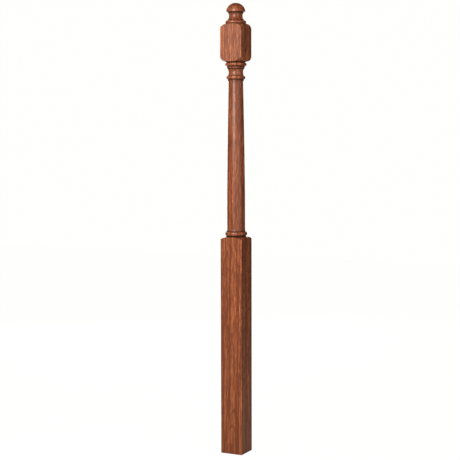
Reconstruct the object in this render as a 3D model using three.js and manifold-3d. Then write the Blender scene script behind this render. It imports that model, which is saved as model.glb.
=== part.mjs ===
// A turned wooden newel post, made in one piece from a square blank: a long square foot block,
// a ring, a tapered round shaft, beads and a cove, a square head block and a ball top on a neck.
// Millimetres, +Z up. The origin is on the underside, on the post's axis.

import * as THREE from "three";
import { mergeVertices } from "three/addons/utils/BufferGeometryUtils.js";
import Module from "manifold-3d";

const wasm = await Module();
wasm.setup();

// The blank
const POST_HEIGHT = 1473; // underside to the top of the ball
const BLANK_SIDE = 76; // the square that the lathe leaves at the foot and the head
const CORNER_MARGIN = 2; // the shoulders are drawn to a circle this far outside the blank's corners

// Lengths along the axis, from the underside up. The shaft takes what the rest leaves of the height.
const FOOT_SQUARE_LENGTH = 701.7;
const FOOT_SHOULDER_RISE = 14.3;
const FOOT_GROOVE_RISE = 3.5;
const RING_RISE = 13.5;
const FLARE_RISE = 7;
const SHAFT_BELLY_LENGTH = 94;
const FILLET_RISE = 4;
const ASTRAGAL_RISE = 12.2;
const COVE_LOWER_RISE = 11.3;
const COVE_UPPER_RISE = 11.3;
const OVOLO_RISE = 7;
const BEAD_RISE = 11.3;
const HEAD_GROOVE_RISE = 1.8;
const HEAD_LOWER_SHOULDER_RISE = 28.5;
const HEAD_SQUARE_LENGTH = 70;
const HEAD_UPPER_SHOULDER_RISE = 24;
const COLLAR_RISE = 10;
const NECK_LOWER_RISE = 14.4;
const NECK_UPPER_RISE = 12.2;
const BALL_EDGE_RISE = 1.6;
const BALL_RISE = 28.4;

// Quirks, the narrow notches that set one moulding off from the next
const QUIRK_RISE = 0.8;
const QUIRK_DEPTH = 1.2;

// Depths of cut below the blank's faces: a turned radius is half the side less its cut.
const FOOT_GROOVE_CUT = 6;
const RING_CUT = 1.8;
const FLARE_CUT = 7;
const SHAFT_BELLY_CUT = 8.6;
const SHAFT_TOP_CUT = 14.4;
const FILLET_CUT = 12;
const ASTRAGAL_CUT = 7.1;
const COVE_FOOT_CUT = 12.2;
const COVE_THROAT_CUT = 14.3;
const COVE_HEAD_CUT = 11.6;
const OVOLO_CUT = 9;
const BEAD_CUT = 2.7;
const HEAD_GROOVE_CUT = 8.5;
const HEAD_TOP_CUT = 5;
const COLLAR_CUT = 4;
const NECK_FOOT_CUT = 9.2;
const NECK_THROAT_CUT = 15.8;
const NECK_HEAD_CUT = 11.8;
const BALL_EDGE_CUT = 9;
const BALL_CUT = 7;

// Curves
const SHAFT_SWELL = 1.4; // power of the taper: 1 is straight, more keeps the lower shaft fuller
const COVE_SWEEP = 40; // degrees of arc on each side of a hollow's throat
const QUARTER = 90; // degrees
const ARC_STEP = 22.5; // degrees between the points of an arc
const SHAFT_STEPS = 10;
const TURNING_FACETS = 40;

// Works out a turned radius from the depth of its cut.
function radiusAt(cut) {
  return BLANK_SIDE / 2 - cut;
}

// The outline of the turning is drawn upwards from the middle of the underside, as radius and height.
const outline = [new THREE.Vector2(0, 0)];
const pen = { radius: 0, height: 0 };

// Draws a straight line to a radius, rising by the given height.
function line(radius, rise) {
  pen.radius = radius;
  pen.height += rise;
  outline.push(new THREE.Vector2(pen.radius, pen.height));
}

// Draws a stretch of ellipse to a radius, rising by the given height. The angles are places on the
// ellipse: -90 is its lowest point, 0 its side, where the outline runs upright, and 90 its top.
function arc(radius, rise, startAngle, endAngle) {
  const startRadius = pen.radius;
  const startHeight = pen.height;
  const start = THREE.MathUtils.degToRad(startAngle);
  const end = THREE.MathUtils.degToRad(endAngle);
  const steps = Math.ceil(Math.abs(endAngle - startAngle) / ARC_STEP);
  for (let step = 1; step <= steps; step += 1) {
    const angle = start + ((end - start) * step) / steps;
    const across = (Math.cos(angle) - Math.cos(start)) / (Math.cos(end) - Math.cos(start));
    const up = (Math.sin(angle) - Math.sin(start)) / (Math.sin(end) - Math.sin(start));
    pen.radius = startRadius + (radius - startRadius) * across;
    pen.height = startHeight + rise * up;
    outline.push(new THREE.Vector2(pen.radius, pen.height));
  }
}

// A bead swells to its radius at half its rise and curls back in to the end radius.
function bead(radius, endRadius, rise) {
  arc(radius, rise / 2, -QUARTER, 0);
  arc(endRadius, rise / 2, 0, QUARTER);
}

// A hollow narrows to its throat and widens to the end radius.
function hollow(throatRadius, endRadius, lowerRise, upperRise) {
  arc(throatRadius, lowerRise, -COVE_SWEEP, 0);
  arc(endRadius, upperRise, 0, COVE_SWEEP);
}

// A quirk is a step inwards from the smaller of the two mouldings that it parts.
function quirk(radius) {
  line(radius - QUIRK_DEPTH, 0);
  line(radius - QUIRK_DEPTH, QUIRK_RISE);
}

// The shaft keeps its belly for a while and then tapers in a gentle swelling curve.
function shaft(bellyRadius, topRadius, length) {
  const startHeight = pen.height;
  line(bellyRadius, SHAFT_BELLY_LENGTH);
  const taperLength = length - SHAFT_BELLY_LENGTH;
  for (let step = 1; step <= SHAFT_STEPS; step += 1) {
    const share = step / SHAFT_STEPS;
    const radius = bellyRadius - (bellyRadius - topRadius) * share ** SHAFT_SWELL;
    const height = startHeight + SHAFT_BELLY_LENGTH + taperLength * share;
    line(radius, height - pen.height);
  }
}

const outerRadius = (BLANK_SIDE / 2) * Math.SQRT2 + CORNER_MARGIN;

// What stands above the shaft, so that the shaft can take the rest
const mouldingsLength =
  FILLET_RISE + QUIRK_RISE + ASTRAGAL_RISE + COVE_LOWER_RISE + COVE_UPPER_RISE + OVOLO_RISE;
const headLength =
  QUIRK_RISE + BEAD_RISE + HEAD_GROOVE_RISE + HEAD_LOWER_SHOULDER_RISE + HEAD_SQUARE_LENGTH +
  HEAD_UPPER_SHOULDER_RISE;
const collarLength = QUIRK_RISE + COLLAR_RISE;
const topLength =
  QUIRK_RISE + NECK_LOWER_RISE + NECK_UPPER_RISE + BALL_EDGE_RISE + BALL_RISE;
const topOfShaft = POST_HEIGHT - mouldingsLength - headLength - collarLength - topLength;

// The foot block, and the turned shoulder that rounds its corners down to the groove
line(outerRadius, 0);
line(outerRadius, FOOT_SQUARE_LENGTH);
arc(radiusAt(FOOT_GROOVE_CUT), FOOT_SHOULDER_RISE, 0, QUARTER);
line(radiusAt(FOOT_GROOVE_CUT), FOOT_GROOVE_RISE);

// The ring, and the shaft that spreads to meet it
bead(radiusAt(RING_CUT), radiusAt(FLARE_CUT), RING_RISE);
quirk(radiusAt(FLARE_CUT));
line(radiusAt(FLARE_CUT), 0);
arc(radiusAt(SHAFT_BELLY_CUT), FLARE_RISE, -COVE_SWEEP, 0);
shaft(radiusAt(SHAFT_BELLY_CUT), radiusAt(SHAFT_TOP_CUT), topOfShaft - pen.height);

// The fillet and the astragal above it
line(radiusAt(FILLET_CUT), 0);
line(radiusAt(FILLET_CUT), FILLET_RISE);
quirk(radiusAt(FILLET_CUT));
bead(radiusAt(ASTRAGAL_CUT), radiusAt(COVE_FOOT_CUT), ASTRAGAL_RISE);

// The cove, and the ovolo that crowns it
hollow(radiusAt(COVE_THROAT_CUT), radiusAt(COVE_HEAD_CUT), COVE_LOWER_RISE, COVE_UPPER_RISE);
arc(radiusAt(OVOLO_CUT), OVOLO_RISE, -QUARTER, 0);
quirk(radiusAt(OVOLO_CUT));

// The bead and the groove under the head block
bead(radiusAt(BEAD_CUT), radiusAt(HEAD_GROOVE_CUT), BEAD_RISE);
line(radiusAt(HEAD_GROOVE_CUT), HEAD_GROOVE_RISE);

// The head block between its two turned shoulders
arc(outerRadius, HEAD_LOWER_SHOULDER_RISE, -QUARTER, 0);
line(outerRadius, HEAD_SQUARE_LENGTH);
arc(radiusAt(HEAD_TOP_CUT), HEAD_UPPER_SHOULDER_RISE, 0, QUARTER);

// The collar, the hollow neck and the ball top
quirk(radiusAt(HEAD_TOP_CUT));
bead(radiusAt(COLLAR_CUT), radiusAt(NECK_FOOT_CUT), COLLAR_RISE);
quirk(radiusAt(NECK_FOOT_CUT));
line(radiusAt(NECK_FOOT_CUT), 0);
hollow(radiusAt(NECK_THROAT_CUT), radiusAt(NECK_HEAD_CUT), NECK_LOWER_RISE, NECK_UPPER_RISE);
line(radiusAt(BALL_EDGE_CUT), 0);
arc(radiusAt(BALL_CUT), BALL_EDGE_RISE, -QUARTER, 0);
arc(0, BALL_RISE, 0, QUARTER);

// Makes a solid of a closed geometry.
function solidOf(geometry) {
  geometry.deleteAttribute("normal");
  geometry.deleteAttribute("uv");
  const merged = mergeVertices(geometry);
  const corners = merged.index.array;
  const kept = [];
  for (let first = 0; first < corners.length; first += 3) {
    const [a, b, c] = corners.slice(first, first + 3);
    if (a !== b && b !== c && c !== a) {
      kept.push(a, b, c);
    }
  }
  const mesh = new wasm.Mesh({
    numProp: 3,
    vertProperties: merged.attributes.position.array,
    triVerts: new Uint32Array(kept),
  });
  return new wasm.Manifold(mesh);
}

// Makes a geometry of a finished solid.
function geometryOf(solid) {
  const mesh = solid.getMesh();
  const geometry = new THREE.BufferGeometry();
  geometry.setAttribute("position", new THREE.BufferAttribute(mesh.vertProperties, 3));
  geometry.setIndex(new THREE.BufferAttribute(mesh.triVerts, 1));
  geometry.computeVertexNormals();
  return geometry;
}

// The turning, cut out of the square blank as a lathe cuts it
function makePost() {
  const turning = new THREE.LatheGeometry(outline, TURNING_FACETS);
  turning.rotateX(Math.PI / 2);
  const blank = new THREE.BoxGeometry(BLANK_SIDE, BLANK_SIDE, POST_HEIGHT * 2);
  return geometryOf(solidOf(turning).intersect(solidOf(blank)));
}

const stainedWood = new THREE.MeshStandardMaterial({ color: 0x9a5b3d, roughness: 0.42, metalness: 0 });
const post = new THREE.Mesh(makePost(), stainedWood);
post.name = "newel_post";

const newel = new THREE.Group();
newel.add(post);

export default newel;
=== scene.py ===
# %% [markdown]
# # A turned newel post
# A newel is the post that a stair's handrail ends on. This one starts as a square blank of
# hardwood. A lathe cuts the round parts and leaves the blank square at the foot, where the stair
# is fixed, and at the head, where the handrail is. It is then stained a reddish brown and
# lacquered. The lesson makes it in the same order: outline, turning, flats, wood, finish, studio.

# %% Load the frame
import math

import bmesh
import bpy
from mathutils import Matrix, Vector


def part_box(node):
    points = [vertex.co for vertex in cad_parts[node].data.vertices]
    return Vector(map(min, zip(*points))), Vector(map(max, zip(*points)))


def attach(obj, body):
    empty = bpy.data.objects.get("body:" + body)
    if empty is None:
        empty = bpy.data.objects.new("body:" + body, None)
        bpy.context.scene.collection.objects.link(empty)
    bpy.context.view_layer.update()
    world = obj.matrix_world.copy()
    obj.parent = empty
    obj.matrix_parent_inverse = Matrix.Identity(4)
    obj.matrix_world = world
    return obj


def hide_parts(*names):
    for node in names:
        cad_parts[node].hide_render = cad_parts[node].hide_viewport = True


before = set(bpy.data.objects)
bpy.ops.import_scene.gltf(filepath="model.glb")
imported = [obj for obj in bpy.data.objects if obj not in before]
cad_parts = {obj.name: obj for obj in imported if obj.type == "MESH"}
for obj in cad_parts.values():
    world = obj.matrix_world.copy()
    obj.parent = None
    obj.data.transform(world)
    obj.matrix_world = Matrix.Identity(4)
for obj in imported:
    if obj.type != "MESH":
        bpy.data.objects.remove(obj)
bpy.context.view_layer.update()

print("the frame holds", sorted(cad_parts))

# %% [markdown]
# ## The blank
# The frame gives the post's real size, and everything here is worked out from it. The post stands
# on the origin with its axis on Z, so half of its width is also the distance from the axis to each
# of the blank's faces.

# %% Measure the blank
POST_NODE = "newel_post"
MM = 0.001

box_low, box_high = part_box(POST_NODE)
blank_side = box_high[0] - box_low[0]
blank_half = blank_side / 2
post_height = box_high[2] - box_low[2]
print("blank side", round(blank_side, 4), "height", round(post_height, 4))

# %% [markdown]
# ## The outline
# A turner works from a rod: a strip marked with each moulding's rise along the post and the depth
# that it is cut below the face. The outline could be a long list of points, but a pen that draws
# straight lines and stretches of ellipse needs only those marks, and its curves can be as fine as
# the render wants. The pen keeps its place as a radius and a height.

# %% Draw with a pen
ARC_STEP = 7.5
QUARTER = 90
HOLLOW_SWEEP = 40

outline = [(0.0, 0.0)]


def line(cut, rise=0.0):
    """Draws straight to the radius that the cut leaves, rising by the given millimetres."""
    outline.append((blank_half - cut * MM, outline[-1][1] + rise * MM))


def arc(cut, rise, start, end):
    """Draws a stretch of ellipse. The angles are -90 at its lowest point, 0 at its side, 90 at its top."""
    from_radius, from_height = outline[-1]
    to_radius = blank_half - cut * MM
    first = math.radians(start)
    last = math.radians(end)
    steps = math.ceil(abs(end - start) / ARC_STEP)
    for step in range(1, steps + 1):
        angle = first + (last - first) * step / steps
        across = (math.cos(angle) - math.cos(first)) / (math.cos(last) - math.cos(first))
        up = (math.sin(angle) - math.sin(first)) / (math.sin(last) - math.sin(first))
        outline.append((from_radius + (to_radius - from_radius) * across, from_height + rise * MM * up))


print("a quarter of an ellipse takes", math.ceil(QUARTER / ARC_STEP), "points")

# %% [markdown]
# Beads and hollows are pairs of arcs. A quirk is the narrow notch that a turner cuts between two
# mouldings: it lies in shade, and that makes the dark line that parts them, with some stain that
# gathers in it. So the pen also notes where each one is, and how much shade to paint there, from 0
# to 1. Shade falls below a moulding, so the darkest painted line lies a little below the notch's middle.

# %% Beads, hollows and quirks
QUIRK_RISE = 0.8
QUIRK_DEPTH = 1.2
SHADE_BELOW_NOTCH = 0.6

recesses = []


def note_recess(shade_and_stain, below=SHADE_BELOW_NOTCH):
    """Notes where shade is painted, with some stain, the given millimetres below the pen's height."""
    radius, height = outline[-1]
    recesses.append((Vector((radius, height - below * MM)), shade_and_stain))


def bead(cut, end_cut, rise):
    """Swells to its radius at half its rise and curls back in."""
    arc(cut, rise / 2, -QUARTER, 0)
    arc(end_cut, rise / 2, 0, QUARTER)


def hollow(throat_cut, end_cut, lower_rise, upper_rise):
    """Narrows to its throat and widens again."""
    arc(throat_cut, lower_rise, -HOLLOW_SWEEP, 0)
    arc(end_cut, upper_rise, 0, HOLLOW_SWEEP)


def groove(cut, rise, shade_and_stain=1.0):
    """Runs up the bottom of a groove and notes both of its corners."""
    note_recess(shade_and_stain)
    line(cut, rise)
    note_recess(shade_and_stain)


def quirk(cut, shade_and_stain):
    """Steps in below the smaller of the two mouldings that it parts."""
    line(cut + QUIRK_DEPTH)
    groove(cut + QUIRK_DEPTH, QUIRK_RISE, shade_and_stain)


print("a quirk is", QUIRK_RISE, "mm high and", QUIRK_DEPTH, "mm deep")

# %% [markdown]
# The shaft is the only part whose length isn't marked on the rod: it fills what the other
# mouldings leave of the height. It keeps its belly for a while and then tapers in a gentle
# swelling curve, because a dead straight taper looks hollow to the eye.

# %% The shaft's taper
BELLY_LENGTH = 94
BELLY_CUT = 8.6
SHAFT_TOP_CUT = 14.4
SHAFT_SWELL = 1.4
SHAFT_STEPS = 24


def shaft(end_height):
    """Draws the belly, and then the taper up to the end height in metres."""
    line(BELLY_CUT, BELLY_LENGTH)
    start_height = outline[-1][1]
    for step in range(1, SHAFT_STEPS + 1):
        share = step / SHAFT_STEPS
        cut = BELLY_CUT + (SHAFT_TOP_CUT - BELLY_CUT) * share**SHAFT_SWELL
        height = start_height + (end_height - start_height) * share
        line(cut, (height - outline[-1][1]) / MM)


print("the taper takes", round(2 * (SHAFT_TOP_CUT - BELLY_CUT), 1), "mm off the shaft's width")

# %% [markdown]
# Now the rod itself. Each mark is a cut below the blank's face or a rise along the post, in
# millimetres, and a name for every mark lets the shaft's length be worked out before the pen
# starts. What stands above the shaft is marked from the shaft's top upwards.

# %% Mark the mouldings under the head block
FILLET_CUT = 12
FILLET_RISE = 4
ASTRAGAL_CUT = 7.1
ASTRAGAL_RISE = 12.2
COVE_FOOT_CUT = 12.2
COVE_THROAT_CUT = 14.3
COVE_HEAD_CUT = 11.6
COVE_LOWER_RISE = 11.3
COVE_UPPER_RISE = 11.3
OVOLO_CUT = 9
OVOLO_RISE = 7
BEAD_CUT = 2.7
BEAD_RISE = 11.3
HEAD_GROOVE_CUT = 8.5
HEAD_GROOVE_RISE = 1.8

mouldings_length = (
    FILLET_RISE + QUIRK_RISE + ASTRAGAL_RISE + COVE_LOWER_RISE + COVE_UPPER_RISE + OVOLO_RISE
    + QUIRK_RISE + BEAD_RISE + HEAD_GROOVE_RISE
)
print("mouldings under the head block", round(mouldings_length, 1), "mm")

# %% Mark the head block, the neck and the ball
HEAD_LOWER_SHOULDER_RISE = 28.5
HEAD_SQUARE_LENGTH = 70
HEAD_UPPER_SHOULDER_RISE = 24
HEAD_TOP_CUT = 5
COLLAR_CUT = 4
COLLAR_RISE = 10
NECK_FOOT_CUT = 9.2
NECK_THROAT_CUT = 15.8
NECK_HEAD_CUT = 11.8
NECK_LOWER_RISE = 14.4
NECK_UPPER_RISE = 12.2
BALL_EDGE_CUT = 9
BALL_EDGE_RISE = 1.6
BALL_CUT = 7
BALL_RISE = 28.4

head_length = HEAD_LOWER_SHOULDER_RISE + HEAD_SQUARE_LENGTH + HEAD_UPPER_SHOULDER_RISE
top_length = (
    QUIRK_RISE + COLLAR_RISE + QUIRK_RISE + NECK_LOWER_RISE + NECK_UPPER_RISE + BALL_EDGE_RISE
    + BALL_RISE
)
shaft_top = post_height - (mouldings_length + head_length + top_length) * MM
print("head block", head_length, "mm, top", round(top_length, 1), "mm, shaft ends at", round(shaft_top, 4))

# %% [markdown]
# The pen reads the rod from the floor upwards. The shoulders, where square turns to round, are
# drawn to a circle just outside the blank's corners. The lathe would never reach wood there, and
# that is right: the corners then meet the turned curve at a crisp edge.

# %% Draw the foot, the ring and the shaft
CORNER_MARGIN = 2
FOOT_SQUARE_LENGTH = 701.7
FOOT_SHOULDER_RISE = 14.3
FOOT_GROOVE_CUT = 6
FOOT_GROOVE_RISE = 3.5
RING_CUT = 1.8
RING_RISE = 13.5
FLARE_CUT = 7
FLARE_RISE = 7

outer_cut = (blank_half - blank_half * math.sqrt(2)) / MM - CORNER_MARGIN

line(outer_cut)
line(outer_cut, FOOT_SQUARE_LENGTH)
arc(FOOT_GROOVE_CUT, FOOT_SHOULDER_RISE, 0, QUARTER)
groove(FOOT_GROOVE_CUT, FOOT_GROOVE_RISE)
bead(RING_CUT, FLARE_CUT, RING_RISE)
quirk(FLARE_CUT, shade_and_stain=0.8)
line(FLARE_CUT)
arc(BELLY_CUT, FLARE_RISE, -HOLLOW_SWEEP, 0)
shaft(shaft_top)
print("the pen is at", round(outline[-1][1], 4))

# %% Draw the mouldings and the head block
BEAD_SHADE_BELOW = 2.2

line(FILLET_CUT)
line(FILLET_CUT, FILLET_RISE)
quirk(FILLET_CUT, shade_and_stain=1.0)
bead(ASTRAGAL_CUT, COVE_FOOT_CUT, ASTRAGAL_RISE)
note_recess(shade_and_stain=0.5)
hollow(COVE_THROAT_CUT, COVE_HEAD_CUT, COVE_LOWER_RISE, COVE_UPPER_RISE)
note_recess(shade_and_stain=0.9)
arc(OVOLO_CUT, OVOLO_RISE, -QUARTER, 0)
quirk(OVOLO_CUT, shade_and_stain=0.9)
bead(BEAD_CUT, HEAD_GROOVE_CUT, BEAD_RISE)
# Painted shade also reaches down on to the bead's upper curl, below the groove.
note_recess(shade_and_stain=1.0, below=BEAD_SHADE_BELOW)
groove(HEAD_GROOVE_CUT, HEAD_GROOVE_RISE)
arc(outer_cut, HEAD_LOWER_SHOULDER_RISE, -QUARTER, 0)
line(outer_cut, HEAD_SQUARE_LENGTH)
arc(HEAD_TOP_CUT, HEAD_UPPER_SHOULDER_RISE, 0, QUARTER)
print("the pen is at", round(outline[-1][1], 4))

# %% [markdown]
# The ball is a dome that overhangs the neck by a few millimetres. The neck under its edge lies
# in shade, so painted shade is noted there twice, one under the other. The last stretch of ellipse
# ends on the axis, which is where a cut as deep as half the blank comes to.

# %% Draw the collar, the neck and the ball
BALL_SHADE_BELOW = (1.8, 4.2)

axis_cut = blank_half / MM

quirk(HEAD_TOP_CUT, shade_and_stain=0.8)
bead(COLLAR_CUT, NECK_FOOT_CUT, COLLAR_RISE)
quirk(NECK_FOOT_CUT, shade_and_stain=0.65)
line(NECK_FOOT_CUT)
hollow(NECK_THROAT_CUT, NECK_HEAD_CUT, NECK_LOWER_RISE, NECK_UPPER_RISE)
for below in BALL_SHADE_BELOW:
    note_recess(shade_and_stain=1.0, below=below)
line(BALL_EDGE_CUT)
arc(BALL_CUT, BALL_EDGE_RISE, -QUARTER, 0)
arc(axis_cut, BALL_RISE, 0, QUARTER)
print(len(outline), "points,", len(recesses), "recesses, top at", round(outline[-1][1], 4))

# %% [markdown]
# ## The turning
# Spinning the outline round the axis is what a lathe does. The steps are many, because the ring's
# highlight would show a coarse turning's facets, and the last step is merged with the first so
# that there is no seam. Points on the axis come out once for each step, and merging doubles
# closes those two poles.

# %% Spin the outline
TURNING_STEPS = 160
MERGE_DISTANCE = 1e-6

body = bmesh.new()
chain = [body.verts.new((radius, 0.0, height)) for radius, height in outline]
chain_edges = [body.edges.new(pair) for pair in zip(chain, chain[1:])]
bmesh.ops.spin(
    body, geom=chain + chain_edges, cent=(0, 0, 0), axis=(0, 0, 1), angle=math.tau,
    steps=TURNING_STEPS, use_merge=True,
)
bmesh.ops.remove_doubles(body, verts=body.verts[:], dist=MERGE_DISTANCE)
bmesh.ops.recalc_face_normals(body, faces=body.faces[:])
print("turning has", len(body.faces), "faces")

# %% [markdown]
# ## The flats
# The blank was square before it was turned, but a model can do it the other way round: plane four
# flats off the turning. Each cut leaves open loops, one at the foot and one at the head, and
# filling them makes the flats. The curved line where a flat meets a shoulder comes out by itself.

# %% Plane the flats
FLAT = 1

flat_mark = body.faces.layers.int.new("flat")


def outward(turn, down=0):
    """Looks out from the axis at a turn in degrees, 0 along +X, and as steeply down as it is asked."""
    facing = math.radians(turn)
    return Vector((math.cos(facing), math.sin(facing), -down))


def plane_off(direction, distance):
    """Cuts away what lies beyond the distance along the direction, and closes the cut."""
    cut = bmesh.ops.bisect_plane(
        body, geom=body.verts[:] + body.edges[:] + body.faces[:], dist=MERGE_DISTANCE,
        plane_co=direction * distance, plane_no=direction, clear_outer=True,
    )
    rims = [part for part in cut["geom_cut"] if isinstance(part, bmesh.types.BMEdge)]
    filled = bmesh.ops.holes_fill(body, edges=rims, sides=0)
    for face in filled["faces"]:
        face[flat_mark] = FLAT


for side in range(4):
    plane_off(outward(QUARTER * side), blank_half)
print("post has", len(body.faces), "faces after planing")

# %% [markdown]
# A real blank's corners, its arrises, are eased with sandpaper. A bevel would have to end in the
# turned shoulders, where it makes a mess, so a few more shallow cuts round each corner do it: each
# one touches the same small circle. The saw leaves the underside with a sharp edge all round,
# which the sandpaper breaks too, and four sloping cuts do that.

# %% Ease the arrises and break the foot's edge
ARRIS_RADIUS = 0.7 * MM
ARRIS_TURNS = (22.5, 45.0, 67.5)
FOOT_BREAK = 0.6 * MM

for side in range(4):
    for turn in ARRIS_TURNS:
        reach = math.cos(math.radians(turn)) + math.sin(math.radians(turn))
        distance = (blank_half - ARRIS_RADIUS) * reach + ARRIS_RADIUS
        plane_off(outward(QUARTER * side + turn), distance)
for side in range(4):
    slope = outward(QUARTER * side, down=1).normalized()
    foot_edge = outward(QUARTER * side) * blank_half
    plane_off(slope, foot_edge.dot(slope) - FOOT_BREAK / math.sqrt(2))
print("post has", len(body.faces), "faces after sanding")

# %% [markdown]
# ## Shading and recesses
# Turned faces are shaded smooth, with sharp edges wherever the outline has a corner. Planed faces
# stay flat. The finish paints shade in the quirks and grooves and needs to know how near a place is
# to the bottom of one, so each corner of a turned face gets a number for that. It is kept by face and
# not by vertex, because a flat shares its rim with the shoulder above it, and the painted shade in a
# groove stops at that rim.

# %% Mark smooth, sharp and recessed places
SHARP_ANGLE = math.radians(30)
RECESS_REACH = 2.9 * MM
UNDERSIDE_LIMIT = -0.9

for face in body.faces:
    face.smooth = face[flat_mark] != FLAT and face.normal.z > UNDERSIDE_LIMIT
for edge in body.edges:
    edge.smooth = edge.calc_face_angle(math.pi) < SHARP_ANGLE

# Each corner of a turned face gets how much shade to paint there, from its nearest note.
recess_mark = body.loops.layers.float.new("recess")
turned_faces = [face for face in body.faces if face[flat_mark] != FLAT]
for corner in [corner for face in turned_faces for corner in face.loops]:
    spot = Vector((corner.vert.co.xy.length, corner.vert.co.z))
    corner[recess_mark] = max(
        shade_and_stain * math.exp(-(((spot - notch).length / RECESS_REACH) ** 2))
        for notch, shade_and_stain in recesses
    )
print(len(turned_faces), "turned faces,", len(body.faces) - len(turned_faces), "flat ones")

# %% [markdown]
# The bmesh now becomes the mesh of an object. The object stays at the origin, unturned, so its
# Object coordinates are the frame's own. It takes the place of the frame's plain solid.

# %% Make the post an object
post_mesh = bpy.data.meshes.new("turned_post")
body.to_mesh(post_mesh)
body.free()
post = bpy.data.objects.new("turned_post", post_mesh)
bpy.context.scene.collection.objects.link(post)
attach(post, "root")
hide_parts(POST_NODE)

post_mesh.calc_loop_triangles()
print("post has", len(post_mesh.loop_triangles), "triangles")

# %% [markdown]
# ## The wood
# Wood isn't a picture wrapped round a shape. It is a solid, and every cut shows another section
# of the same tree: arches on a flat-sawn face, straight lines on the face beside it, rings on the
# end. So the pattern here is worked out in space from Object coordinates, and the flats, beads
# and underside all agree where they meet. These helpers keep the node code short: any input may
# be a number or another node's output.

# %% Helpers for numbers and patterns
wood = bpy.data.materials.new("stained_hardwood")
wood.use_nodes = True
nodes = wood.node_tree.nodes
links = wood.node_tree.links
shader = nodes["Principled BSDF"]


def feed(socket, value):
    """Links an output into the socket, or sets it to a plain value."""
    if isinstance(value, bpy.types.NodeSocket):
        links.new(value, socket)
    else:
        socket.default_value = value


def sums(operation, first, second=0.0, clamp=False):
    """One Math node."""
    node = nodes.new("ShaderNodeMath")
    node.operation = operation
    node.use_clamp = clamp
    feed(node.inputs[0], first)
    feed(node.inputs[1], second)
    return node.outputs[0]


def span(value, from_low, from_high, to_low=0.0, to_high=1.0, easing="LINEAR"):
    """Maps one range on to another, and stays at its ends beyond it."""
    node = nodes.new("ShaderNodeMapRange")
    node.interpolation_type = easing
    feed(node.inputs["Value"], value)
    limits = {"From Min": from_low, "From Max": from_high, "To Min": to_low, "To Max": to_high}
    for name, limit in limits.items():
        node.inputs[name].default_value = limit
    return node.outputs["Result"]


def noise(vector, scale, detail=2.0, roughness=0.5):
    """A 3-D noise between 0 and 1."""
    node = nodes.new("ShaderNodeTexNoise")
    feed(node.inputs["Vector"], vector)
    node.inputs["Scale"].default_value = scale
    node.inputs["Detail"].default_value = detail
    node.inputs["Roughness"].default_value = roughness
    return node.outputs["Fac"]


def stretched(vector, along, lean=0.0, depth=1.0):
    """Draws a pattern out along the grain and into the depth, leaning by the given degrees."""
    node = nodes.new("ShaderNodeMapping")
    node.vector_type = "TEXTURE"
    feed(node.inputs["Vector"], vector)
    node.inputs["Rotation"].default_value = (math.radians(lean), math.radians(lean), 0.0)
    node.inputs["Scale"].default_value = (1.0, depth, along)
    return node.outputs["Vector"]


print("the wood starts with", len(nodes), "nodes")

# %% [markdown]
# Two more helpers deal with colour. The Mix node has sockets for numbers, for vectors and for
# colours under the same names, so the ones for colours are picked out by their places in the list.

# %% Helpers for colours
MIX_FIRST = 6
MIX_SECOND = 7
MIX_RESULT = 2


def ramp(value, stops):
    """Turns a value into another through stops of (place, colour or grey)."""
    node = nodes.new("ShaderNodeValToRGB")
    feed(node.inputs["Fac"], value)
    elements = node.color_ramp.elements
    while len(elements) < len(stops):
        elements.new(0.5)
    for element, (place_on_ramp, shade) in zip(elements, stops):
        colour = shade if isinstance(shade, tuple) else (shade, shade, shade)
        element.position = place_on_ramp
        element.color = (*colour, 1.0)
    return node.outputs["Color"]


def mix(share, first, second, blend="MIX"):
    """Mixes two colours."""
    node = nodes.new("ShaderNodeMix")
    node.data_type = "RGBA"
    node.blend_type = blend
    feed(node.inputs["Factor"], share)
    feed(node.inputs[MIX_FIRST], first)
    feed(node.inputs[MIX_SECOND], second)
    return node.outputs[MIX_RESULT]


# %% [markdown]
# A tree grows a ring a year round its pith. The blank was sawn from one side of the log, so the
# pith lies behind it, outside the wood: its front face is flat-sawn and its sides are nearly
# quarter-sawn. Near the roots the trunk swells, so going up the post there has the same effect as
# moving outwards through the rings, and that is what turns lines into arches at the foot of the
# flat-sawn face. The pith leans a little too, which tips the arches over, and it bends aside again
# above the foot block.

# %% Distance from the pith
PITH_X = -0.005
PITH_Y = 0.072
SWELL_TOP = 0.19
SWELL_DEPTH = 0.0045
PITH_LEAN = 0.020
TRUNK_TAPER = 0.0006
BEND_FROM = 0.70
BEND_TO = 1.30
BEND_ASIDE = 0.005
RING_WANDER = 0.0016

coordinates = nodes.new("ShaderNodeTexCoord")
place = coordinates.outputs["Object"]
split = nodes.new("ShaderNodeSeparateXYZ")
links.new(place, split.inputs[0])
x, y, z = split.outputs[0], split.outputs[1], split.outputs[2]

swell = span(z, 0.0, SWELL_TOP, easing="SMOOTHSTEP")
slow_noise = noise(stretched(place, along=6.0), scale=22.0, detail=1.0)
slow_bend = sums("MULTIPLY", sums("SUBTRACT", slow_noise, 0.5), RING_WANDER)
backwards = sums("SUBTRACT", y, PITH_Y)
bend = span(z, BEND_FROM, BEND_TO, PITH_X, PITH_X + BEND_ASIDE, easing="SMOOTHSTEP")
sideways = sums("SUBTRACT", x, bend)


def from_pith(across):
    """The distance from the pith, bent a little by the slow noise."""
    squares = sums("ADD", sums("MULTIPLY", across, across), sums("MULTIPLY", backwards, backwards))
    return sums("ADD", sums("SQRT", squares), slow_bend)


leaning = sums("SUBTRACT", sideways, sums("MULTIPLY", swell, PITH_LEAN))
run_out = sums("ADD", sums("MULTIPLY", swell, SWELL_DEPTH), sums("MULTIPLY", z, TRUNK_TAPER))
pith_distance = sums("ADD", from_pith(leaning), run_out)
print("the pith is", round((PITH_Y - blank_half) / MM), "mm behind the back face")

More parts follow.
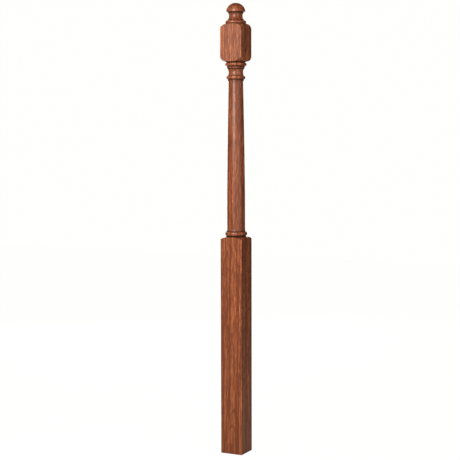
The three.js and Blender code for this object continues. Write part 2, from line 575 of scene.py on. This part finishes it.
# %% [markdown]
# Each ring is pale and open in spring, darkens through the summer, and stops short for the winter.
# A fraction of the ring count draws that saw-tooth. Rings differ, so one noise along the radius
# varies their widths and a random number gives each ring a strength of its own.

# %% Growth rings
RING_WIDTH = 0.0021
RING_START = -0.204
WIDTH_SCALE = 0.45
WIDTH_CHANGE = 1.2
FAINTEST_RING = 0.35

ring_count = sums("ADD", sums("DIVIDE", pith_distance, RING_WIDTH), RING_START)
width_noise = nodes.new("ShaderNodeTexNoise")
width_noise.noise_dimensions = "1D"
feed(width_noise.inputs["W"], ring_count)
width_noise.inputs["Scale"].default_value = WIDTH_SCALE
uneven_count = sums("ADD", ring_count, sums("MULTIPLY", width_noise.outputs["Fac"], WIDTH_CHANGE))
season = sums("FRACT", uneven_count)
latewood = ramp(season, [(0.0, 0.25), (0.06, 0.0), (0.74, 0.10), (0.90, 1.0), (0.95, 0.90), (1.0, 0.25)])

year = nodes.new("ShaderNodeTexWhiteNoise")
year.noise_dimensions = "1D"
feed(year.inputs["W"], sums("FLOOR", uneven_count))
rings = sums("MULTIPLY", latewood, span(year.outputs["Value"], 0.0, 1.0, FAINTEST_RING, 1.0))
print("about", round(blank_side / RING_WIDTH), "rings from front to back")

# %% [markdown]
# Wet and dry spells last for several years, so whole groups of rings come out darker or paler. On
# the sides they are upright stripes. The wood nearest the bark is sapwood, which stays pale. On the
# foot block the right front arris is furthest from the pith, so it keeps a narrow strip of it, and
# at the head, where the pith has bent aside, both front arrises have a trace. One ramp over the
# distance from the pith makes them all.

# %% Groups of rings and the sapwood
BANDS_FROM = 0.050
BANDS_TO = 0.120

bands = ramp(span(from_pith(sideways), BANDS_FROM, BANDS_TO), [
    (0.00, 0.95), (0.20, 0.85), (0.29, 0.10), (0.45, 0.15), (0.52, 0.80), (0.64, 0.70), (0.70, 0.25),
    (0.83, 0.42), (0.880, 0.52), (0.895, 0.72), (0.922, 0.80), (0.934, 0.0), (1.00, 0.0),
])
print("the groups span", round((BANDS_TO - BANDS_FROM) / MM), "mm of growth")

# %% [markdown]
# Between the rings the wood is made of fibres and vessels that run up the tree. In this timber the
# grain is interlocked: one year's fibres lean to the left and another's to the right, so streaks
# cross at a narrow angle. Two noises drawn out along the grain and leaning apart give that. They
# are calmer towards the root, where the rings' arches show instead. A third noise gives long fine
# columns, a fourth the fibres, a fifth the short dark dashes of open pores, and a broad one the
# patches where the wood took more stain or less.

# %% Columns, streaks, fibres and pores
FINE_ROUGHNESS = 0.65
COLUMN_CONTRAST = (0.38, 0.62)
PORE_CONTRAST = (0.60, 0.70)
STREAK_CONTRAST = (0.82, 1.18)
STREAK_LEAN = 4.5
STREAK_DEPTH = 5 / 3
CALM_FROM = 0.08
CALM_TO = 0.32
CALM_SHARE = 0.5

columns = span(noise(stretched(place, along=40.0), scale=230.0, detail=1.0), *COLUMN_CONTRAST)
patches = noise(stretched(place, along=5.0), scale=24.0)
fibres = noise(stretched(place, along=30.0), scale=1100.0, detail=3.0, roughness=FINE_ROUGHNESS)
pores = span(noise(stretched(place, along=18.0), scale=2300.0, detail=1.0), *PORE_CONTRAST)

leaning_left = stretched(place, along=12.0, lean=STREAK_LEAN, depth=STREAK_DEPTH)
leaning_right = stretched(place, along=14.0, lean=-STREAK_LEAN, depth=STREAK_DEPTH)
left_streaks = noise(leaning_left, scale=310.0, roughness=FINE_ROUGHNESS)
right_streaks = noise(leaning_right, scale=400.0, roughness=FINE_ROUGHNESS)
crossing = span(sums("ADD", left_streaks, right_streaks), *STREAK_CONTRAST, -0.5, 0.5)
strength = span(z, CALM_FROM, CALM_TO, CALM_SHARE, 1.0)
streaks = sums("ADD", sums("MULTIPLY", crossing, strength), 0.5)
print("the streaks cross at", 2 * STREAK_LEAN, "degrees")

# %% [markdown]
# The colours are those of a reddish brown stain: orange-brown where the wood is open, deep
# brown in the latewood. The tone adds up everything above, each with a share of its own, and one
# ramp turns it into colour, so that every feature is stained from the same pot. A ramp up the post
# also paints light and shade into the tone: the head block paler, as if lit more strongly, the turned
# parts darker than the flats, and the mouldings under the head block less so. It also makes the
# foot darker over its lowest two centimetres.

# %% Stain
RAMP_TOP = 1.5
OPEN_WOOD = (0.530, 0.195, 0.078)
MIDDLE_WOOD = (0.300, 0.086, 0.029)
LATE_WOOD = (0.150, 0.038, 0.014)
PORE_BROWN = (0.075, 0.020, 0.009, 1.0)
PORE_SHARE = 0.40

# Painted light and shade by height, added to the tone.
height_light_and_shade = ramp(sums("DIVIDE", z, RAMP_TOP), [
    (0.00, 1.00), (0.012, 0.62), (0.10, 0.66), (0.46, 0.66), (0.48, 0.84), (0.81, 0.76), (0.825, 0.45),
    (0.84, 0.45), (0.865, 0.14), (0.93, 0.14), (0.945, 0.68),
])
features = (
    (rings, 0.44), (bands, 0.34), (columns, 0.33), (streaks, 0.44), (fibres, 0.17), (patches, 0.06),
    (height_light_and_shade, 0.22),
)
tone = 0.0
for feature, share in features:
    tone = sums("ADD", tone, sums("MULTIPLY", feature, share))
stain = ramp(tone, [(0.31, OPEN_WOOD), (0.65, MIDDLE_WOOD), (0.99, LATE_WOOD)])
stain = mix(sums("MULTIPLY", pores, PORE_SHARE), stain, PORE_BROWN)
print("the tone adds up", len(features), "features")

# %% [markdown]
# Stain doesn't take evenly either. Some streaks come out redder and others more olive, so a noise
# of its own tints them a little.

# %% Redder and more olive streaks
REDDER = (1.0, 0.93, 0.93)
EVEN = (1.0, 0.96, 0.96)
MORE_OLIVE = (0.98, 1.0, 0.98)

tint_noise = noise(stretched(place, along=14.0), scale=75.0)
tint = ramp(tint_noise, [(0.36, REDDER), (0.50, EVEN), (0.64, MORE_OLIVE)])
stain = mix(1.0, stain, tint, blend="MULTIPLY")
print(len(nodes), "nodes so far")

# %% [markdown]
# End grain drinks stain, so it comes out darker: on the underside, and a little on every bead and
# shoulder where the lathe cut across the fibres. How far a surface faces up or down tells how much
# end grain it shows. The quirks are darkened too, where the recess numbers are: that is painted
# shade, with some stain that gathers there.

# %% End grain and painted shade in recesses
END_GRAIN_DARK = 0.45
END_GRAIN_BROWN = (0.070, 0.020, 0.010, 1.0)
RECESS_SHADE_STRENGTH = 0.98
RECESS_SHADE_BROWN = (0.014, 0.0045, 0.002, 1.0)

normal_parts = nodes.new("ShaderNodeSeparateXYZ")
links.new(coordinates.outputs["Normal"], normal_parts.inputs[0])
end_grain = sums("POWER", sums("ABSOLUTE", normal_parts.outputs[2]), 2.0)
stain = mix(sums("MULTIPLY", end_grain, END_GRAIN_DARK), stain, END_GRAIN_BROWN)

# Painted shade: the recess numbers darken the quirks and grooves towards a near-black brown.
recess_attribute = nodes.new("ShaderNodeAttribute")
recess_attribute.attribute_name = "recess"
recess = recess_attribute.outputs["Fac"]
stain = mix(sums("MULTIPLY", recess, RECESS_SHADE_STRENGTH), stain, RECESS_SHADE_BROWN)
feed(shader.inputs["Base Color"], stain)
print("stain gathers in", len(recesses), "places up the outline")

# %% [markdown]
# ## The lacquer
# Satin lacquer lies over the stain as a thin clear film. The film is the coat, and the wood
# below it is rougher. In the quirks, where shade is painted, the coat fades and the roughness rises,
# so that no reflection greys the painted shade. The film also sinks in where the grain is open, so
# dark streaks shine less than pale ones and break up the highlights.

# %% Lacquer
COAT_WEIGHT = 0.28
COAT_UNEVEN = 0.35
COAT_ROUGHNESS = 0.22
COAT_IOR = 1.5
WOOD_SPECULAR = 0.29
SATIN_FINEST = 0.36
SATIN_COARSEST = 0.50
DULL_ROUGHNESS = 0.5

shine = sums("SUBTRACT", 1.0, recess, clamp=True)
film = span(streaks, 0.1, 0.9, (1 + COAT_UNEVEN) * COAT_WEIGHT, (1 - COAT_UNEVEN) * COAT_WEIGHT)
feed(shader.inputs["Coat Weight"], sums("MULTIPLY", shine, film))
shader.inputs["Coat Roughness"].default_value = COAT_ROUGHNESS
shader.inputs["Coat IOR"].default_value = COAT_IOR
shader.inputs["Specular IOR Level"].default_value = WOOD_SPECULAR

satin = span(fibres, 0.3, 0.7, SATIN_FINEST, SATIN_COARSEST)
dullness = sums("MULTIPLY", recess, DULL_ROUGHNESS)
feed(shader.inputs["Roughness"], sums("ADD", satin, dullness))
print("coat weight", COAT_WEIGHT, "and roughness", SATIN_FINEST, "to", SATIN_COARSEST)

# %% [markdown]
# Open pores are tiny pits and fibres are faint ridges between them. They are too small to model,
# so a very shallow bump stands for them. It catches the light on close views only.

# %% Pores and fibres as a bump
PORE_RELIEF = -1.0
FIBRE_RELIEF = 0.35
BUMP_STRENGTH = 0.35
BUMP_DEPTH = 0.12 * MM

relief = sums("ADD", sums("MULTIPLY", pores, PORE_RELIEF), sums("MULTIPLY", fibres, FIBRE_RELIEF))
bump = nodes.new("ShaderNodeBump")
bump.inputs["Strength"].default_value = BUMP_STRENGTH
bump.inputs["Distance"].default_value = BUMP_DEPTH
feed(bump.inputs["Height"], relief)
links.new(bump.outputs["Normal"], shader.inputs["Normal"])

post_mesh.materials.append(wood)
print("the wood has", len(nodes), "nodes")

# %% [markdown]
# ## The studio
# The camera stands about 0.3 m higher than the middle of the post, looks slightly down, and sees
# the front face wide and the right face narrow. A long lens keeps the post's sides nearly parallel.
# The swing brings the post to the middle of the picture, and the lean sets its axis upright there.

# %% Camera
FRAME_PIXELS = 460
LENS_PIXELS = 1200
SENSOR_MM = 36
CAMERA_TURN = math.radians(26.39)
CAMERA_DISTANCE = 3.918
CAMERA_HEIGHT = 1.037
CAMERA_TILT = math.radians(4.374)
CAMERA_SWING = math.radians(0.284)
CAMERA_LEAN = math.radians(0.14)

camera_data = bpy.data.cameras.new("camera")
camera_data.sensor_width = SENSOR_MM
camera_data.lens = SENSOR_MM * LENS_PIXELS / FRAME_PIXELS
camera = bpy.data.objects.new("camera", camera_data)
camera.location = (
    math.sin(CAMERA_TURN) * CAMERA_DISTANCE,
    -math.cos(CAMERA_TURN) * CAMERA_DISTANCE,
    CAMERA_HEIGHT,
)
camera.rotation_euler = (math.radians(QUARTER) - CAMERA_TILT, CAMERA_LEAN, CAMERA_TURN + CAMERA_SWING)
bpy.context.scene.collection.objects.link(camera)
bpy.context.scene.camera = camera
print("lens", round(camera_data.lens, 1), "mm")

# %% [markdown]
# One soft box in front, to the left of the camera, does the work. A larger and weaker one on the
# right keeps the shaded face readable. A third stands behind, for the sides that the camera can't
# see. All are aimed at the post by a helper that takes a turn round the post, a distance and a
# height.

# %% Lights
WARM_WHITE = (1.0, 0.95, 0.89)
FILL_WHITE = (1.0, 0.97, 0.92)


def soft_box(name, turn, distance, height, aim_height, size, power, colour):
    """An area light aimed at the post's axis. Turn 0 is in front of the -Y face, 90 of the +X face."""
    angle = math.radians(turn)
    data = bpy.data.lights.new(name, "AREA")
    data.shape = "RECTANGLE"
    data.size, data.size_y = size
    data.energy = power
    data.color = colour
    lamp = bpy.data.objects.new(name, data)
    lamp.location = (math.sin(angle) * distance, -math.cos(angle) * distance, height)
    aim = Vector((0, 0, aim_height)) - lamp.location
    lamp.rotation_euler = aim.to_track_quat("-Z", "Y").to_euler()
    bpy.context.scene.collection.objects.link(lamp)
    print(name, "light", power, "W")


soft_box(
    "key", turn=-3, distance=2.3, height=1.84, aim_height=1.12, size=(1.1, 1.6), power=84,
    colour=WARM_WHITE,
)
soft_box(
    "fill", turn=64, distance=2.4, height=1.3, aim_height=0.9, size=(2.2, 2.2), power=25.5,
    colour=FILL_WHITE,
)
soft_box(
    "back", turn=212, distance=2.6, height=1.4, aim_height=0.8, size=(1.8, 2.6), power=58,
    colour=WARM_WHITE,
)

# %% [markdown]
# The ground and the wall behind are white paper, lit so brightly that hardly a shadow shows on
# them. Real light that strong would bounce back and wash out the modelling, so what the camera
# sees and what lights the post are two different things here: a light path switch shows the
# camera a glowing white, and gives every other ray a dim world and a plain pale floor. The
# Standard view shows these whites as they are, where the usual one would turn them grey.

# %% World
PAPER_WHITE = (0.998, 0.998, 0.980, 1.0)
DIM_WARM = (1.0, 0.96, 0.92, 1.0)
DIM_STRENGTH = 0.08


def switch_for_camera(tree, real, shown, output):
    """Sends what is shown to the camera's rays and what is real to all the others."""
    light_path = tree.nodes.new("ShaderNodeLightPath")
    switch = tree.nodes.new("ShaderNodeMixShader")
    tree.links.new(light_path.outputs["Is Camera Ray"], switch.inputs[0])
    tree.links.new(real.outputs[0], switch.inputs[1])
    tree.links.new(shown.outputs[0], switch.inputs[2])
    tree.links.new(switch.outputs[0], output.inputs[0])


world = bpy.data.worlds.new("studio")
bpy.context.scene.world = world
world.use_nodes = True
sky = world.node_tree
dim = sky.nodes["Background"]
dim.inputs["Color"].default_value = DIM_WARM
dim.inputs["Strength"].default_value = DIM_STRENGTH
paper = sky.nodes.new("ShaderNodeBackground")
paper.inputs["Color"].default_value = PAPER_WHITE
switch_for_camera(sky, dim, paper, sky.nodes["World Output"])

bpy.context.scene.view_settings.view_transform = "Standard"
print("the world lights the post at", DIM_STRENGTH)

# %% Floor
FLOOR_GLOW = (0.990, 0.990, 0.974, 1.0)
FLOOR_SHEEN = (0.03, 0.03, 0.03, 1.0)
FLOOR_PALE = (0.44, 0.39, 0.33, 1.0)
FLOOR_ROUGHNESS = 0.7
FLOOR_HALF = 6.0

floor_paper = bpy.data.materials.new("floor_paper")
floor_paper.use_nodes = True
floor_tree = floor_paper.node_tree
pale = floor_tree.nodes["Principled BSDF"]
pale.inputs["Base Color"].default_value = FLOOR_PALE
pale.inputs["Roughness"].default_value = FLOOR_ROUGHNESS
glowing = floor_tree.nodes.new("ShaderNodeBsdfPrincipled")
glowing.inputs["Base Color"].default_value = FLOOR_SHEEN
glowing.inputs["Specular IOR Level"].default_value = 0.0
glowing.inputs["Roughness"].default_value = 1.0
glowing.inputs["Emission Color"].default_value = FLOOR_GLOW
glowing.inputs["Emission Strength"].default_value = 1.0
switch_for_camera(floor_tree, pale, glowing, floor_tree.nodes["Material Output"])

floor_mesh = bpy.data.meshes.new("floor")
ground = bmesh.new()
bmesh.ops.create_grid(ground, x_segments=1, y_segments=1, size=FLOOR_HALF)
ground.to_mesh(floor_mesh)
ground.free()
floor_mesh.materials.append(floor_paper)
floor = bpy.data.objects.new("floor", floor_mesh)
bpy.context.scene.collection.objects.link(floor)
print("the floor is", 2 * FLOOR_HALF, "m wide")
